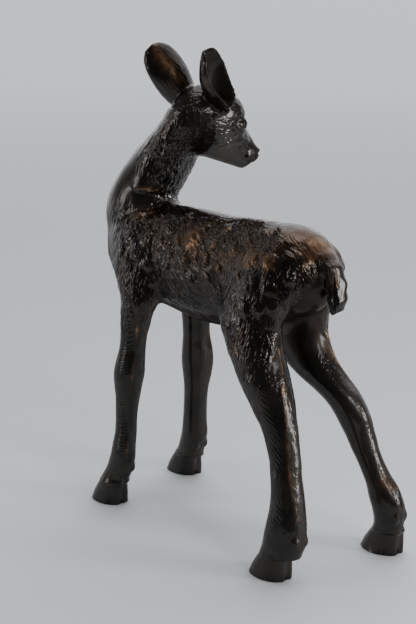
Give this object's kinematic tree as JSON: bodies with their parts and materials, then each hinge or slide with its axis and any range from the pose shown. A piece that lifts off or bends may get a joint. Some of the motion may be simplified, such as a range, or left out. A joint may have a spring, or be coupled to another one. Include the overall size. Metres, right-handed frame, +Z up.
{
  "type": "fawn sculpture",
  "caption": "Standing fawn cast in dark patinated bronze, legs splayed, head turned to its right to look back over the shoulder.",
  "frame": {"origin": "middle of the bounding box at the level of the four soles", "axes": "+X the way the chest faces, +Y the animal's left, +Z up"},
  "size_m": [0.4092, 0.1906, 0.5437],
  "materials": {
    "bronze": "cast bronze with a very dark brown patina, waxed to a gloss, copper brown where it is worn"
  },
  "bodies": {
    "root": {"fawn": "bronze"}
  },
  "joints": []
}
